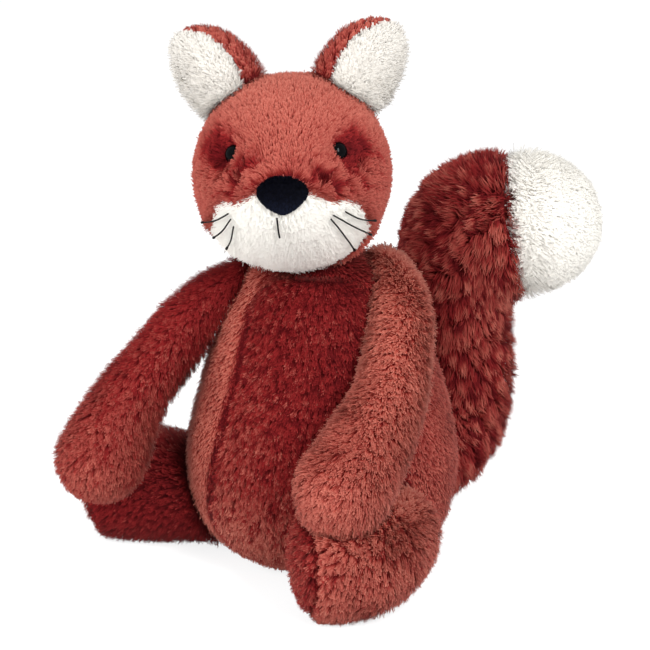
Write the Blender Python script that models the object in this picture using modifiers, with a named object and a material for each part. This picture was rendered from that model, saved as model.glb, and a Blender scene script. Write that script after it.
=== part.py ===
"""A seated plush squirrel, modelled as its sewn and stuffed pieces.

Units are metres, +Z is up and the toy faces -Y. The origin is the middle of the flat seat.
Left and right are the toy's own: its left side is +X.
Each stuffed piece is a sphere primitive carried along a spine. Pieces that are sewn together
are cut to fit each other, with a small seam clearance.
"""

import math

import bmesh
import bpy
from mathutils import Matrix, Vector
from mathutils.bvhtree import BVHTree

# Clearances and cloth
SEAM_CLEARANCE = 0.0003
PANEL_THICKNESS = 0.0035
SEAM_GROOVE = 0.0009

# Torso, a pear with a flat seat
TORSO_HEIGHT = 0.1400
BELLY_HALF_WIDTH = 0.0588
BELLY_HALF_DEPTH = 0.0500
# Each section: share of the height, share of the half-width, of the half-depth, and shift back
PEAR = (
    (-0.085, 0.00, 0.00, 0.14),
    (-0.045, 0.42, 0.35, 0.14),
    (0.000, 0.64, 0.54, 0.13),
    (0.060, 0.815, 0.78, 0.10),
    (0.170, 0.948, 0.94, 0.05),
    (0.300, 1.000, 1.00, 0.02),
    (0.425, 0.985, 0.985, 0.00),
    (0.550, 0.912, 0.91, 0.00),
    (0.655, 0.830, 0.83, 0.00),
    (0.755, 0.735, 0.75, 0.00),
    (0.865, 0.615, 0.64, 0.00),
    (0.955, 0.420, 0.46, 0.00),
    (1.000, 0.000, 0.00, 0.00),
)

# Belly panel, as seen from the front
PANEL_HALF_WIDTH = 0.0420
PANEL_TOP_HALF_WIDTH = 0.0205
PANEL_TOP_HEIGHT = 0.1300
PANEL_FOOT_HEIGHT = 0.004

# Head, with the way it is turned in degrees
HEAD_WIDTH = 0.0825
HEAD_DEPTH = 0.0800
HEAD_HEIGHT = 0.0835
HEAD_SINK = 0.0105
HEAD_FORWARD = 0.0140
HEAD_SIDEWAYS = -0.0100
HEAD_TURN = 5.5
HEAD_LIFT = 12.0
HEAD_ROLL = -2.0
MUZZLE_REACH = 0.0095
MUZZLE_SPREAD = 34.0
MUZZLE_DROP = 18.0

# White muzzle panel, as seen along the face
MUZZLE_HALF_WIDTH = 0.0320
MUZZLE_TOP_DROP = 0.0088
MUZZLE_CORNER_DROP = 0.0126
MUZZLE_JAW_DROP = 0.0265

# Eyes, each a bead on a shank with a locking washer
EYE_RADIUS = 0.0042
EYE_DOME = 0.0034
EYE_SIDE_ANGLE = 37.0
EYE_RISE_ANGLE = 10.8
EYE_DENT = 0.0042
EYE_DENT_SPREAD = 11.0
SHANK_RADIUS = 0.0014
SHANK_LENGTH = 0.0120
WASHER_RADIUS = 0.0048
WASHER_THICKNESS = 0.0012
WASHER_DEPTH = 0.0070

# Nose, mouth and whiskers
NOSE_WIDTH = 0.0212
NOSE_HEIGHT = 0.0164
NOSE_DEPTH = 0.0150
NOSE_PROUD = 0.0048
NOSE_DROP_ANGLE = 12.4
THREAD_RADIUS = 0.0004
MOUTH_LENGTH = 0.0100
MOUTH_SIDE_ANGLE = -3.0
WHISKER_RADIUS = 0.00035
WHISKER_LIFT = 0.0022
WHISKER_KNOT_RADIUS = 0.0006
WHISKER_KNOT_LENGTH = 0.0020

# Ears
EAR_LENGTH = 0.0440
EAR_HALF_WIDTH = 0.0165
EAR_HALF_THICKNESS = 0.0100
EAR_BURIED = 0.0130
LEFT_EAR_SIDE_ANGLE = 34.5
RIGHT_EAR_SIDE_ANGLE = 36.0
LEFT_EAR_SPLAY = 30.0
RIGHT_EAR_SPLAY = 33.0
EAR_TURN = 48.0
LINING_LENGTH = 0.0385
LINING_HALF_WIDTH = 0.0148
LINING_HALF_THICKNESS = 0.0085
LINING_PROUD = 0.0065

# Arms, from the shoulder down
SHOULDER_RADIUS = 0.0128
ARM_RADIUS = 0.0150
PAW_RADIUS = 0.0204

# Legs
HIP_RADIUS = 0.0200
LEG_RADIUS = 0.0225
FOOT_RADIUS = 0.0268
FOOT_ROUND = 0.0150
SOLE_RADIUS = 0.0205

# Tail
TAIL_ROOT_HEIGHT = 0.030
TAIL_ROOT_BEARING = 160.0
TAIL_ROOT_RADIUS = 0.0175
TAIL_RADIUS = 0.0240
TAIL_CREST_RADIUS = 0.0325
TAIL_END_RADIUS = 0.0320
TAIL_FOLD_GAP = 0.0030
TAIL_CURL_BEARING = 100.0
TIP_RADIUS = 0.0330
TIP_LENGTH = 0.0390
TIP_BURIED = 0.0040

# Waypoints of the soft limbs beside the torso: height, bearing in degrees, distance off its surface.
# A bearing of 0 is straight ahead of the toy, and 90 is its left.
RIGHT_ARM = (
    (0.1270, -97.0, -0.0090),
    (0.1140, -83.0, 0.0092),
    (0.1020, -78.1, 0.0155),
    (0.0885, -75.9, 0.0210),
    (0.0735, -74.4, 0.0285),
    (0.0511, -73.0, 0.0362),
    (0.0312, -71.9, 0.0490),
)
LEFT_ARM = (
    (0.1297, 117.0, -0.0083),
    (0.1250, 81.0, -0.0025),
    (0.1140, 58.0, 0.0068),
    (0.0985, 44.0, 0.0122),
    (0.0845, 35.5, 0.0165),
    (0.0604, 18.2, 0.0287),
    (0.0444, 7.7, 0.0437),
)
LEFT_LEG = (
    (0.0300, 53.9, -0.0074),
    (0.0260, 34.3, 0.0124),
    (0.0250, 19.4, 0.0272),
    (0.0255, 0.4, 0.0344),
)
RIGHT_LEG = (
    (0.0256, -92.0, -0.0318),
    (0.0250, -97.5, -0.0074),
    (0.0245, -99.5, 0.0260),
    (0.0245, -98.0, 0.0555),
)
# Waypoints of the tail from its root on the torso up to its fold: outward, to the toy's left, up.
TAIL_PATH = (
    (-0.0140, -0.0030, 0.0020),
    (0.0170, 0.0140, 0.0000),
    (0.0369, 0.0187, 0.0130),
    (0.0437, 0.0189, 0.0330),
    (0.0435, 0.0181, 0.0539),
    (0.0427, 0.0175, 0.0685),
)
# How far the tail has folded over at each section past those waypoints, in degrees.
TAIL_FOLD = (30.0, 60.0, 88.0)
# Each whisker's two ends as angles on the face: to the side, then up.
WHISKERS = {
    "right": (
        ((34.9, -22.3), (66.0, -27.0)),
        ((34.1, -25.4), (60.0, -36.0)),
        ((34.2, -29.9), (52.0, -43.0)),
    ),
    "left": (
        ((36.5, -22.6), (63.0, -28.0)),
        ((28.0, -23.8), (66.0, -36.0)),
        ((26.7, -25.7), (58.0, -46.0)),
    ),
}

# Facets
AROUND = 20
HEAD_AROUND = 28
HEAD_RINGS = 18

RUST_RED = (0.30, 0.052, 0.036)
RUST_LIGHT = (0.38, 0.085, 0.058)
WHITE_PILE = (0.84, 0.82, 0.78)
BLACK_VELOUR = (0.006, 0.007, 0.014)
BLACK_THREAD = (0.010, 0.010, 0.010)
BLACK_BEAD = (0.004, 0.004, 0.004)
WASHER_WHITE = (0.80, 0.80, 0.78)


def clear_scene():
    for old in list(bpy.data.objects):
        bpy.data.objects.remove(old, do_unlink=True)


def new_collection(name):
    made = bpy.data.collections.new(name)
    bpy.context.scene.collection.children.link(made)
    return made


def principled(name, colour, roughness, metallic=0.0):
    material = bpy.data.materials.new(name)
    material.use_nodes = True
    shader = material.node_tree.nodes["Principled BSDF"]
    shader.inputs["Base Color"].default_value = (*colour, 1.0)
    shader.inputs["Roughness"].default_value = roughness
    shader.inputs["Metallic"].default_value = metallic
    return material


def object_from(bm, name, collection):
    """Puts a bmesh in a new object, with its faces pointing out and shaded smooth."""
    bmesh.ops.recalc_face_normals(bm, faces=bm.faces)
    if bm.calc_volume(signed=True) < 0:
        bmesh.ops.reverse_faces(bm, faces=bm.faces)
    mesh = bpy.data.meshes.new(name)
    bm.to_mesh(mesh)
    bm.free()
    mesh.shade_smooth()
    made = bpy.data.objects.new(name, mesh)
    collection.objects.link(made)
    return made


def smooth_between(values, share):
    """Catmull-Rom value at share 0 to 1 of a list of numbers or vectors."""
    last = len(values) - 1
    place = min(max(share, 0.0), 1.0) * last
    start = min(int(place), last - 1)
    t = place - start
    b = values[start]
    c = values[start + 1]
    a = values[start - 1] if start > 0 else b * 2 - c
    d = values[start + 2] if start + 2 <= last else c * 2 - b
    return (
        b * 2
        + (c - a) * t
        + (a * 2 - b * 5 + c * 4 - d) * t**2
        + (b * 3 - a - c * 3 + d) * t**3
    ) * 0.5


class Spine:
    """A smooth line through waypoints, measured by its length, with a frame that doesn't twist.

    headings gives the way ahead at each waypoint where the sections fan round a fold.
    """

    STEPS = 160

    def __init__(self, waypoints, side, headings=None):
        points = [Vector(p) for p in waypoints]
        line = [smooth_between(points, i / self.STEPS) for i in range(self.STEPS + 1)]
        self.points = line
        self.reached = [0.0]
        for before, after in zip(line, line[1:]):
            self.reached.append(self.reached[-1] + (after - before).length)
        self.length = self.reached[-1]
        self.frames = []
        across = Vector(side)
        for i in range(len(line)):
            if headings:
                ahead = smooth_between(headings, i / self.STEPS).normalized()
            else:
                ahead = (line[min(i + 1, self.STEPS)] - line[max(i - 1, 0)]).normalized()
            across = (across - ahead * across.dot(ahead)).normalized()
            self.frames.append((ahead, across.copy(), ahead.cross(across)))

    def at(self, distance):
        """The point and frame at that distance along the line."""
        i = 0
        while i < self.STEPS - 1 and self.reached[i + 1] < distance:
            i += 1
        span = self.reached[i + 1] - self.reached[i]
        share = (distance - self.reached[i]) / span
        return self.points[i].lerp(self.points[i + 1], share), self.frames[i]

    def share_of_waypoint(self, distance):
        """How far along the waypoints that distance is, from 0 to 1."""
        i = 0
        while i < self.STEPS - 1 and self.reached[i + 1] < distance:
            i += 1
        return i / self.STEPS


def rounding(distance, cap):
    """Share of the full radius at a distance from a rounded end of that cap length."""
    if distance >= cap:
        return 1.0
    return math.sqrt(max(0.0, 1.0 - (1.0 - distance / cap) ** 2))


def stuffed(name, collection, spine, radii, caps, rings, around=AROUND, flat=1.0, grow=0.0):
    """A stuffed form: a sphere primitive whose rings are carried along a spine.

    radii are the half-widths at the waypoints, flat is the half-depth as a share of them,
    caps are the lengths of the two rounded ends, and grow swells the form by a clearance.
    """
    bm = bmesh.new()
    bmesh.ops.create_uvsphere(bm, u_segments=around, v_segments=rings, radius=1.0)
    total = spine.length
    for vert in bm.verts:
        pole_angle = math.acos(max(-1.0, min(1.0, vert.co.z)))
        turn = math.atan2(vert.co.y, vert.co.x)
        along = total * (1 - math.cos(pole_angle)) / 2
        width = smooth_between(radii, spine.share_of_waypoint(along))
        width *= rounding(along, caps[0]) * rounding(total - along, caps[1])
        centre, (ahead, across, up) = spine.at(along)
        vert.co = centre + across * width * math.cos(turn) + up * width * flat * math.sin(turn)
    made = object_from(bm, name, collection)
    return swollen(made, grow)


def swollen(form, amount):
    """Moves a form's surface out by that amount along its normals, or in if it is negative."""
    if amount:
        mesh = form.data
        moved = [v.co + v.normal * amount for v in mesh.vertices]
        for vertex, place in zip(mesh.vertices, moved):
            vertex.co = place
        mesh.update()
    return form


def as_cutter(form):
    form.hide_render = True
    form.display_type = "WIRE"
    return form


def boolean(target, tool, operation):
    cut = target.modifiers.new(operation.lower() + " " + tool.name, "BOOLEAN")
    cut.operation = operation
    cut.object = tool
    cut.solver = "EXACT"


def prism(name, collection, outline, low, high, placed):
    """A smooth closed outline in the XZ plane, extruded along Y from low to high."""
    curve = bpy.data.curves.new(name, "CURVE")
    curve.dimensions = "2D"
    curve.fill_mode = "BOTH"
    curve.resolution_u = 3
    curve.extrude = (high - low) / 2
    spline = curve.splines.new("BEZIER")
    spline.bezier_points.add(len(outline) - 1)
    for point, (x, z) in zip(spline.bezier_points, outline):
        point.co = (x, z, 0.0)
        point.handle_left_type = "AUTO"
        point.handle_right_type = "AUTO"
    spline.use_cyclic_u = True
    drawn = bpy.data.objects.new(name, curve)
    collection.objects.link(drawn)
    upright = Matrix.Rotation(math.radians(90), 4, "X")
    drawn.matrix_world = placed @ Matrix.Translation((0, (low + high) / 2, 0)) @ upright
    bpy.context.view_layer.update()
    return mesh_of(drawn, collection)


def mesh_of(drawn, collection):
    """A curve object made a welded mesh object of the same name and place."""
    graph = bpy.context.evaluated_depsgraph_get()
    mesh = bpy.data.meshes.new_from_object(drawn.evaluated_get(graph))
    place = drawn.matrix_world.copy()
    name = drawn.name
    bpy.data.objects.remove(drawn, do_unlink=True)
    bm = bmesh.new()
    bm.from_mesh(mesh)
    bmesh.ops.remove_doubles(bm, verts=bm.verts, dist=0.00001)
    made = object_from(bm, name, collection)
    made.matrix_world = place
    return made


def mirrored_outline(half):
    """A closed outline from its right half, listed from the top of the middle line down."""
    left = [(-x, z) for x, z in reversed(half) if x > 0]
    return list(half) + left


def spread_outline(outline, amount):
    """The outline moved outward from its middle by about that amount."""
    middle_x = sum(x for x, z in outline) / len(outline)
    middle_z = sum(z for x, z in outline) / len(outline)
    spread = []
    for x, z in outline:
        away = Vector((x - middle_x, z - middle_z))
        away += away.normalized() * amount
        spread.append((middle_x + away.x, middle_z + away.y))
    return spread


# Torso


def torso_section(height):
    """The torso's half-width, half-depth and shift back at a height, between its sections."""
    share = height / TORSO_HEIGHT
    for below, above in zip(PEAR, PEAR[1:]):
        if share <= above[0]:
            mix = (share - below[0]) / (above[0] - below[0])
            wide, deep, back = [low + (high - low) * mix for low, high in zip(below[1:], above[1:])]
            return wide * BELLY_HALF_WIDTH, deep * BELLY_HALF_DEPTH, back * BELLY_HALF_DEPTH
    return 0.001, 0.001, 0.0


def beside_torso(height, bearing, off):
    """The point at a height and bearing, that far off the torso's surface."""
    angle = math.radians(bearing)
    way = Vector((math.sin(angle), -math.cos(angle), 0))
    wide, deep, back = torso_section(height)
    surface = 1 / math.hypot(way.x / wide, way.y / deep)
    return way * (surface + off) + Vector((0, back, height))


def torso_form(name, collection, grow=0.0):
    """The pear shape, turned round +Z and narrower from front to back."""
    bm = bmesh.new()
    bmesh.ops.create_uvsphere(bm, u_segments=28, v_segments=18, radius=1.0)
    for vert in bm.verts:
        share = math.acos(max(-1.0, min(1.0, -vert.co.z))) / math.pi
        height, wide, deep, back = [smooth_between(column, share) for column in zip(*PEAR)]
        turn = math.atan2(vert.co.y, vert.co.x)
        vert.co = Vector(
            (
                wide * BELLY_HALF_WIDTH * math.cos(turn),
                BELLY_HALF_DEPTH * (deep * math.sin(turn) + back),
                height * TORSO_HEIGHT,
            )
        )
    made = object_from(bm, name, collection)
    return swollen(made, grow)


def ground_cutter(collection):
    """A box whose top face is the surface that the toy sits on."""
    bm = bmesh.new()
    bmesh.ops.create_cube(bm, size=1.0)
    made = object_from(bm, "ground_cut", collection)
    made.location = (0, 0, -0.5)
    return as_cutter(made)


def belly_outline():
    half = (
        (0.0, PANEL_TOP_HEIGHT),
        (PANEL_TOP_HALF_WIDTH, PANEL_TOP_HEIGHT * 0.97),
        (PANEL_HALF_WIDTH * 0.35 + PANEL_TOP_HALF_WIDTH * 0.65, PANEL_TOP_HEIGHT * 0.72),
        (PANEL_HALF_WIDTH * 0.845, PANEL_TOP_HEIGHT * 0.50),
        (PANEL_HALF_WIDTH * 0.95, PANEL_TOP_HEIGHT * 0.34),
        (PANEL_HALF_WIDTH, PANEL_TOP_HEIGHT * 0.19),
        (PANEL_HALF_WIDTH * 0.80, PANEL_FOOT_HEIGHT + 0.006),
        (PANEL_HALF_WIDTH * 0.45, PANEL_FOOT_HEIGHT),
        (0.0, PANEL_FOOT_HEIGHT - 0.001),
    )
    return mirrored_outline(half)


def inset_panel(name, parts, cutters, make_form, carrier, outline, reach, placed):
    """A cloth panel let into a carrier flush with its surface, with a sewn groove round it.

    make_form(name, collection, grow) makes the carrier's stuffed form, and reach is how far
    the outline runs along Y.
    """
    low, high = reach
    outer = prism(name + "_outer_cut", cutters, spread_outline(outline, SEAM_GROOVE), low, high, placed)
    bed = make_form(name + "_bed", cutters, grow=-PANEL_THICKNESS - SEAM_CLEARANCE)
    boolean(as_cutter(outer), as_cutter(bed), "DIFFERENCE")
    boolean(carrier, outer, "DIFFERENCE")
    inner = prism(name + "_inner_cut", cutters, outline, low, high, placed)
    core = make_form(name + "_core", cutters, grow=-PANEL_THICKNESS)
    panel = make_form(name, parts)
    boolean(panel, as_cutter(inner), "INTERSECT")
    boolean(panel, as_cutter(core), "DIFFERENCE")
    return panel


# Head


def head_place():
    """The head's centre and the way that it is turned, as a matrix."""
    centre = Vector(
        (
            HEAD_SIDEWAYS,
            -HEAD_FORWARD,
            TORSO_HEIGHT - HEAD_SINK + HEAD_HEIGHT / 2,
        )
    )
    turned = (
        Matrix.Rotation(math.radians(HEAD_TURN), 4, "Z")
        @ Matrix.Rotation(math.radians(-HEAD_LIFT), 4, "X")
        @ Matrix.Rotation(math.radians(HEAD_ROLL), 4, "Y")
    )
    return Matrix.Translation(centre) @ turned


def face_way(side_angle, rise_angle):
    """A direction in the head's own frame: 0, 0 is straight out of the face."""
    side = math.radians(side_angle)
    rise = math.radians(rise_angle)
    return Vector(
        (
            math.sin(side) * math.cos(rise),
            -math.cos(side) * math.cos(rise),
            math.sin(rise),
        )
    )


def bump(way, middle, spread):
    """1 along the middle direction, falling off with the angle from it."""
    angle = way.angle(middle)
    return math.exp(-((angle / math.radians(spread)) ** 2))


def head_surface(way):
    """The head's surface along a direction, in its own frame: an egg, a muzzle and eye dents."""
    point = Vector((way.x * HEAD_WIDTH / 2, way.y * HEAD_DEPTH / 2, way.z * HEAD_HEIGHT / 2))
    muzzle = face_way(0, -MUZZLE_DROP)
    point += muzzle * MUZZLE_REACH * bump(way, muzzle, MUZZLE_SPREAD)
    for side in (-1, 1):
        eye = face_way(side * EYE_SIDE_ANGLE, EYE_RISE_ANGLE)
        point -= eye * EYE_DENT * bump(way, eye, EYE_DENT_SPREAD)
    return point


def head_form(name, collection, grow=0.0):
    """A sphere with its poles at the face and the back of the head, shaped by head_surface."""
    bm = bmesh.new()
    bmesh.ops.create_uvsphere(bm, u_segments=HEAD_AROUND, v_segments=HEAD_RINGS, radius=1.0)
    for vert in bm.verts:
        x, y, z = vert.co
        vert.co = head_surface(Vector((x, -z, y)).normalized())
    made = object_from(bm, name, collection)
    swollen(made, grow)
    made.matrix_world = head_place()
    return made


def muzzle_outline():
    half = (
        (0.0, -MUZZLE_TOP_DROP),
        (MUZZLE_HALF_WIDTH * 0.34, -MUZZLE_TOP_DROP - 0.0012),
        (MUZZLE_HALF_WIDTH * 0.58, -MUZZLE_CORNER_DROP),
        (MUZZLE_HALF_WIDTH * 0.83, -MUZZLE_CORNER_DROP),
        (MUZZLE_HALF_WIDTH * 0.97, -(MUZZLE_CORNER_DROP + MUZZLE_JAW_DROP) / 2),
        (MUZZLE_HALF_WIDTH, -MUZZLE_JAW_DROP),
        (MUZZLE_HALF_WIDTH * 0.98, -MUZZLE_JAW_DROP * 1.3),
        (MUZZLE_HALF_WIDTH * 0.86, -HEAD_HEIGHT * 0.52),
        (0.0, -HEAD_HEIGHT * 0.58),
    )
    return mirrored_outline(half)


class Surface:
    """Finds points on a form along rays from a point inside it."""

    def __init__(self, form):
        bm = bmesh.new()
        bm.from_mesh(form.data)
        bm.transform(form.matrix_world)
        self.tree = BVHTree.FromBMesh(bm)
        bm.free()

    def along(self, origin, way):
        """The surface point from origin along way, and the outward normal there."""
        place, normal, face, distance = self.tree.ray_cast(origin + way, -way)
        return place, normal


def turned_to(place, normal, up=Vector((0, 0, 1))):
    """A matrix at a place whose Z is along normal and whose Y is as near up as it can be."""
    z = normal.normalized()
    x = up.cross(z).normalized()
    y = z.cross(x)
    return Matrix.Translation(place) @ Matrix((x, y, z)).transposed().to_4x4()


def turned_shape(name, collection, profile, placed, steps=12):
    """A profile of radius and height pairs, from the bottom up the outside, turned round Z."""
    mesh = bpy.data.meshes.new(name)
    points = [(radius, 0.0, height) for radius, height in profile]
    mesh.from_pydata(points, [(i, i + 1) for i in range(len(points) - 1)], [])
    drawn = bpy.data.objects.new(name, mesh)
    collection.objects.link(drawn)
    screw = drawn.modifiers.new("turn", "SCREW")
    screw.steps = steps
    screw.render_steps = steps
    screw.use_merge_vertices = True
    screw.merge_threshold = 0.00001
    bpy.context.view_layer.update()
    return mesh_in_place(drawn, collection, placed)


def mesh_in_place(drawn, collection, placed):
    made = mesh_of(drawn, collection)
    made.matrix_world = placed
    return made


def eye_profile(grow=0.0):
    """The bead's dome, its flat back and the shank, on the axis at both ends."""
    dome = [
        (
            (EYE_RADIUS + grow) * math.cos(math.radians(a)),
            (EYE_DOME + grow) * math.sin(math.radians(a)),
        )
        for a in (0, 18, 36, 54, 72)
    ]
    back = -0.0010 - grow
    return [
        (0.0, -SHANK_LENGTH - grow),
        (SHANK_RADIUS + grow, -SHANK_LENGTH - grow),
        (SHANK_RADIUS + grow, back),
        (EYE_RADIUS * 0.9 + grow, back),
        *dome,
        (0.0, EYE_DOME + grow),
    ]


def washer_profile(hole, radius, thickness):
    half = thickness / 2
    return [
        (hole, -WASHER_DEPTH - half),
        (radius, -WASHER_DEPTH - half),
        (radius, -WASHER_DEPTH + half),
        (hole, -WASHER_DEPTH + half),
        (hole, -WASHER_DEPTH - half),
    ]


def pocket_profile():
    """Room for the washer round the shank, as a plain disc."""
    room = 0.0006
    half = WASHER_THICKNESS / 2 + room
    radius = WASHER_RADIUS + room
    return [
        (0.0, -WASHER_DEPTH - half),
        (radius, -WASHER_DEPTH - half),
        (radius, -WASHER_DEPTH + half),
        (0.0, -WASHER_DEPTH + half),
    ]


def make_eye(side, label, parts, cutters, head, skin, bead_black, washer_white):
    place = head_place()
    middle = place.translation
    way = (place.to_3x3() @ face_way(side * EYE_SIDE_ANGLE, EYE_RISE_ANGLE)).normalized()
    dent, normal = skin.along(middle, way)
    seat = turned_to(dent + way * 0.0005, way)
    eye = turned_shape("eye_" + label, parts, eye_profile(), seat)
    eye.data.materials.append(bead_black)
    washer = turned_shape(
        "eye_washer_" + label,
        parts,
        washer_profile(SHANK_RADIUS + SEAM_CLEARANCE, WASHER_RADIUS, WASHER_THICKNESS),
        seat,
    )
    washer.data.materials.append(washer_white)
    hole = turned_shape("eye_hole_" + label, cutters, eye_profile(SEAM_CLEARANCE), seat)
    pocket = turned_shape("eye_pocket_" + label, cutters, pocket_profile(), seat)
    boolean(head, as_cutter(hole), "DIFFERENCE")
    boolean(head, as_cutter(pocket), "DIFFERENCE")


def make_nose(parts, place, skin, head_clear, velour):
    """A padded rounded triangle, wide at the top, sewn on the front of the muzzle."""
    bm = bmesh.new()
    bmesh.ops.create_uvsphere(bm, u_segments=16, v_segments=10, radius=1.0)
    for vert in bm.verts:
        x, y, z = vert.co
        narrowing = 1.0 - 0.34 * max(0.0, -z) ** 1.2 + 0.06 * z
        squarer = 1.0 + 0.10 * max(0.0, z) * (1 - max(0.0, z))
        vert.co = Vector(
            (
                x * NOSE_WIDTH / 2 * narrowing * squarer,
                y * NOSE_DEPTH / 2,
                z * NOSE_HEIGHT / 2,
            )
        )
    nose = object_from(bm, "nose", parts)
    way = (place.to_3x3() @ face_way(0, -NOSE_DROP_ANGLE)).normalized()
    front, normal = skin.along(place.translation, way)
    sunk = NOSE_DEPTH / 2 - NOSE_PROUD
    nose.matrix_world = Matrix.Translation(front - way * sunk) @ place.to_3x3().to_4x4()
    boolean(nose, head_clear, "DIFFERENCE")
    nose.data.materials.append(velour)
    return nose


def thread(name, parts, points, radii, material):
    """A thread as a curve with a round bevel and closed ends."""
    curve = bpy.data.curves.new(name, "CURVE")
    curve.dimensions = "3D"
    curve.bevel_depth = 1.0
    curve.bevel_resolution = 1
    curve.use_fill_caps = True
    spline = curve.splines.new("POLY")
    spline.points.add(len(points) - 1)
    for point, place, radius in zip(spline.points, points, radii):
        point.co = (*place, 1.0)
        point.radius = radius
    made = bpy.data.objects.new(name, curve)
    parts.objects.link(made)
    curve.materials.append(material)
    return made


def thread_over(skin, place, start, end, lift_start, lift_end, count):
    """Points over the head's surface between two face angles, lifting off it towards the end."""
    points = []
    for i in range(count):
        share = i / (count - 1)
        side = start[0] + (end[0] - start[0]) * share
        rise = start[1] + (end[1] - start[1]) * share - 2.0 * math.sin(math.pi * share)
        way = (place.to_3x3() @ face_way(side, rise)).normalized()
        surface, normal = skin.along(place.translation, way)
        points.append(surface + way * (lift_start + (lift_end - lift_start) * share**1.5))
    return points


def make_whiskers(parts, place, skin, black_thread):
    """Three threads on each cheek, each thicker at its cut end."""
    count = 6
    for side, label in ((1, "left"), (-1, "right")):
        for number, (start, end) in enumerate(WHISKERS[label], 1):
            points = thread_over(
                skin,
                place,
                (side * start[0], start[1]),
                (side * end[0], end[1]),
                WHISKER_RADIUS + SEAM_CLEARANCE,
                WHISKER_LIFT,
                count,
            )
            step = (points[-1] - points[-2]).normalized() * WHISKER_KNOT_LENGTH / 2
            points += [points[-1] + step, points[-1] + step * 2]
            radii = [WHISKER_RADIUS] * count + [WHISKER_KNOT_RADIUS] * 2
            thread(f"whisker_{label}_{number}", parts, points, radii, black_thread)


def make_mouth(parts, place, skin, black_thread):
    """A short stitched line straight down from under the nose."""
    reach = HEAD_DEPTH / 2 + MUZZLE_REACH
    top = -NOSE_DROP_ANGLE - math.degrees((NOSE_HEIGHT * 0.53) / reach)
    foot = top - math.degrees(MOUTH_LENGTH / reach)
    count = 6
    lift = THREAD_RADIUS + SEAM_CLEARANCE
    points = []
    for i in range(count):
        rise = top + (foot - top) * i / (count - 1)
        way = (place.to_3x3() @ face_way(MOUTH_SIDE_ANGLE, rise)).normalized()
        surface, normal = skin.along(place.translation, way)
        points.append(surface + way * lift)
    thread("mouth_stitch", parts, points, [THREAD_RADIUS] * count, black_thread)


# Ears


def ear_frame(side):
    """The ear's root point, its long axis and the way that its lining faces, in world space."""
    place = head_place()
    turn = place.to_3x3()
    lean = math.radians(LEFT_EAR_SIDE_ANGLE if side > 0 else RIGHT_EAR_SIDE_ANGLE)
    splay = math.radians(LEFT_EAR_SPLAY if side > 0 else RIGHT_EAR_SPLAY)
    root_way = Vector((side * math.sin(lean), 0.05, math.cos(lean)))
    surface = head_surface(root_way.normalized())
    axis = Vector((side * math.sin(splay), 0.0, math.cos(splay)))
    facing = Vector((side * math.sin(math.radians(EAR_TURN)), -math.cos(math.radians(EAR_TURN)), 0.0))
    facing = (facing - axis * facing.dot(axis)).normalized()
    root = surface - axis * EAR_BURIED
    return place @ root, (turn @ axis).normalized(), (turn @ facing).normalized()


def ear_leaf(name, collection, side, length, half_width, half_thickness, offset, start, grow=0.0):
    """A leaf: a flattened form along the ear's axis, widest in its lower half."""
    root, axis, facing = ear_frame(side)
    foot = root + facing * offset + axis * start
    curl = facing * length * 0.07
    waypoints = [
        foot,
        foot + axis * length * 0.35 - curl * 0.6,
        foot + axis * length * 0.70 - curl * 0.4,
        foot + axis * length + curl * 0.5,
    ]
    spine = Spine(waypoints, facing.cross(axis))
    radii = [half_width * 0.70, half_width, half_width * 0.86, half_width * 0.50]
    caps = (length * 0.12, length * 0.30)
    flat = half_thickness / half_width
    return stuffed(name, collection, spine, radii, caps, 11, 14, flat, grow)


def make_ear(side, label, parts, cutters, head_clear, rust, white):
    size = (EAR_LENGTH, EAR_HALF_WIDTH, EAR_HALF_THICKNESS, 0.0, 0.0)
    back = ear_leaf("ear_back_" + label, parts, side, *size)
    back_clear = ear_leaf("ear_clear_" + label, cutters, side, *size, grow=SEAM_CLEARANCE)
    lining = ear_leaf(
        "ear_lining_" + label,
        parts,
        side,
        LINING_LENGTH,
        LINING_HALF_WIDTH,
        LINING_HALF_THICKNESS,
        LINING_PROUD,
        EAR_LENGTH - LINING_LENGTH - 0.0005,
    )
    boolean(back, head_clear, "DIFFERENCE")
    boolean(lining, as_cutter(back_clear), "DIFFERENCE")
    boolean(lining, head_clear, "DIFFERENCE")
    back.data.materials.append(rust)
    lining.data.materials.append(white)


# Limbs


def limb_spine(waypoints):
    return Spine([beside_torso(*w) for w in waypoints], (0, 0, 1))


def arm_form(name, collection, waypoints, grow=0.0):
    radii = [
        SHOULDER_RADIUS * 0.92,
        SHOULDER_RADIUS,
        (SHOULDER_RADIUS + ARM_RADIUS) / 2,
        ARM_RADIUS,
        (ARM_RADIUS * 2 + PAW_RADIUS) / 3,
        PAW_RADIUS,
        PAW_RADIUS,
    ]
    caps = (SHOULDER_RADIUS * 0.8, PAW_RADIUS)
    return stuffed(name, collection, limb_spine(waypoints), radii, caps, 16, 18, grow=grow)


def leg_form(name, collection, waypoints, grow=0.0):
    radii = [HIP_RADIUS, LEG_RADIUS, FOOT_RADIUS, FOOT_RADIUS]
    return stuffed(
        name,
        collection,
        limb_spine(waypoints),
        radii,
        (HIP_RADIUS * 0.7, FOOT_ROUND),
        12,
        22,
        grow=grow,
    )


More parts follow.
